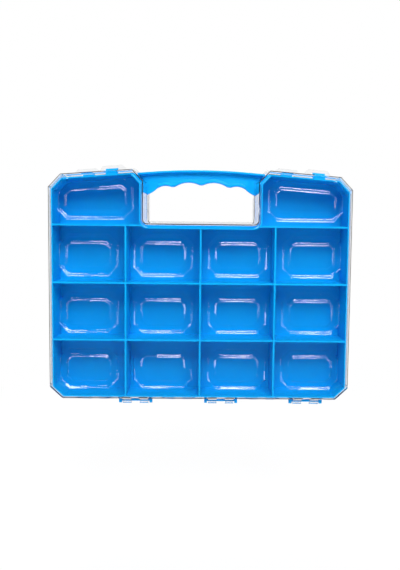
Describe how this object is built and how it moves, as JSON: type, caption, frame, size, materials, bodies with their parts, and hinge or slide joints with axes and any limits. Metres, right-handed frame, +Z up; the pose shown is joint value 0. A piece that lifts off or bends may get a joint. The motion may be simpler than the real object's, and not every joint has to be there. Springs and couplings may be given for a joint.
{
  "type": "double-sided organizer box",
  "caption": "Flat carry case for small parts: a blue tray with moulded compartments on both faces, a clear hinged cover over each face, and a grooved handle set in a notch at the top.",
  "frame": {"origin": "on the ground under the box's centre, level with the lowest point of the hinge hooks that the upright box stands on", "axes": "+Z up, from the hinges towards the handle; +X to the right as seen from the front, along the box's width; -Y out of the front cover, +Y out of the rear cover"},
  "size_m": [0.3218, 0.08, 0.2607],
  "materials": {
    "blue_plastic": "satin moulded polypropylene",
    "clear_plastic": "clear moulded polystyrene"
  },
  "bodies": {
    "tray": {"tray_wall": "blue_plastic", "tray_belt": "blue_plastic", "tray_floor": "blue_plastic", "front_dividers": "blue_plastic", "rear_dividers": "blue_plastic", "handle": "blue_plastic", "front_catches": "blue_plastic", "rear_catches": "blue_plastic", "front_hinge_arms": "blue_plastic", "rear_hinge_arms": "blue_plastic", "front_hinge_rods": "blue_plastic", "rear_hinge_rods": "blue_plastic"},
    "front_lid": {"front_lid": "clear_plastic"},
    "rear_lid": {"rear_lid": "clear_plastic"}
  },
  "joints": [
    {"name": "front_lid_hinge", "type": "hinge", "parent": "tray", "child": "front_lid", "pos_m": [0, -0.009, 0.0039], "axis": [1, 0, 0], "range_deg": [0, 120]},
    {"name": "rear_lid_hinge", "type": "hinge", "parent": "tray", "child": "rear_lid", "pos_m": [0, 0.009, 0.0039], "axis": [-1, 0, 0], "range_deg": [0, 120]}
  ]
}
